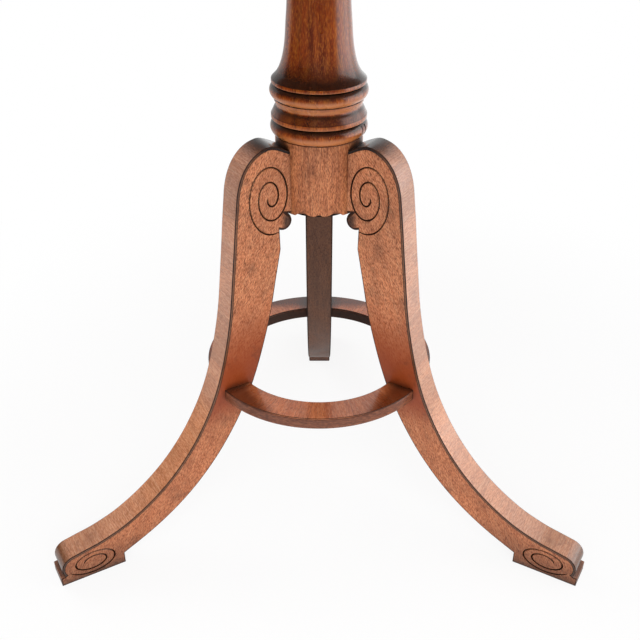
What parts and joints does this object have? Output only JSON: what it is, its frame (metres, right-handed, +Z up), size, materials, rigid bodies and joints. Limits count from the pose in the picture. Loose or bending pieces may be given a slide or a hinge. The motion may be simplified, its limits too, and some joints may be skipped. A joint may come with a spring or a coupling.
{
  "type": "drum table",
  "caption": "Revolving drum table: round leather-topped drum with frieze drawers on a turned column, with scroll-headed sabre legs and a ring stretcher.",
  "frame": {"origin": "on the floor, on the axis of the column, at the middle of the footprint", "axes": "+Z up along the column; -Y is the front, between two legs, with one drawer facing it"},
  "size_m": [0.7599, 0.76, 0.75],
  "materials": {
    "mahogany": "french polished mahogany, worn",
    "crossbanding": "cross-grain mahogany veneer, polished",
    "drawer_wood": "plain unpolished wood",
    "leather": "dark green hide with gilt tooling",
    "brass": "aged polished brass",
    "steel": "turned steel, oiled",
    "iron": "blackened iron"
  },
  "bodies": {
    "pedestal": {"column": "mahogany", "leg_block": "mahogany", "column_wedge": "drawer_wood", "block_plate": "iron", "block_plate_screws": "steel", "leg_rear": "mahogany", "leg_front_left": "mahogany", "leg_front_right": "mahogany", "leg_facing_rear": "crossbanding", "leg_facing_front_left": "crossbanding", "leg_facing_front_right": "crossbanding", "stretcher_arc_front": "mahogany", "stretcher_arc_right": "mahogany", "stretcher_arc_left": "mahogany", "stretcher_crossbanding": "crossbanding", "stretcher_dowels": "drawer_wood", "column_cap": "mahogany", "bearing_washer": "brass", "pivot_spindle": "steel", "pivot_washer": "steel", "pivot_nut": "steel"},
    "drum": {"drum_floor_board": "mahogany", "bearing_bush": "brass", "partitions": "mahogany", "corner_posts": "drawer_wood", "drum_roof_board": "mahogany", "dummy_front_a": "mahogany", "dummy_front_b": "mahogany", "dummy_front_c": "mahogany", "dummy_front_d": "mahogany", "dummy_beads": "crossbanding", "dummy_knobs": "brass", "drawer_stops": "drawer_wood", "foot_moulding": "mahogany", "cove_moulding": "mahogany", "top_board": "mahogany", "top_edge_moulding": "mahogany", "top_crossbanding": "crossbanding", "top_leather": "leather", "top_screws": "steel"},
    "drawer_a": {"drawer_front_a": "mahogany", "drawer_bead_a": "crossbanding", "drawer_walls_a": "drawer_wood", "drawer_bottom_a": "drawer_wood", "drawer_knob_a": "brass"},
    "drawer_b": {"drawer_front_b": "mahogany", "drawer_bead_b": "crossbanding", "drawer_walls_b": "drawer_wood", "drawer_bottom_b": "drawer_wood", "drawer_knob_b": "brass"},
    "drawer_c": {"drawer_front_c": "mahogany", "drawer_bead_c": "crossbanding", "drawer_walls_c": "drawer_wood", "drawer_bottom_c": "drawer_wood", "drawer_knob_c": "brass"},
    "drawer_d": {"drawer_front_d": "mahogany", "drawer_bead_d": "crossbanding", "drawer_walls_d": "drawer_wood", "drawer_bottom_d": "drawer_wood", "drawer_knob_d": "brass"}
  },
  "joints": [
    {"name": "top_turn", "type": "hinge", "parent": "pedestal", "child": "drum", "pos_m": [0, 0, 0.63], "axis": [0, 0, 1], "continuous": true},
    {"name": "drawer_a_slide", "type": "slide", "parent": "drum", "child": "drawer_a", "axis": [0, -1, 0], "range_m": [0, 0.15]},
    {"name": "drawer_b_slide", "type": "slide", "parent": "drum", "child": "drawer_b", "axis": [1, 0, 0], "range_m": [0, 0.15]},
    {"name": "drawer_c_slide", "type": "slide", "parent": "drum", "child": "drawer_c", "axis": [0, 1, 0], "range_m": [0, 0.15]},
    {"name": "drawer_d_slide", "type": "slide", "parent": "drum", "child": "drawer_d", "axis": [-1, 0, 0], "range_m": [0, 0.15]}
  ]
}
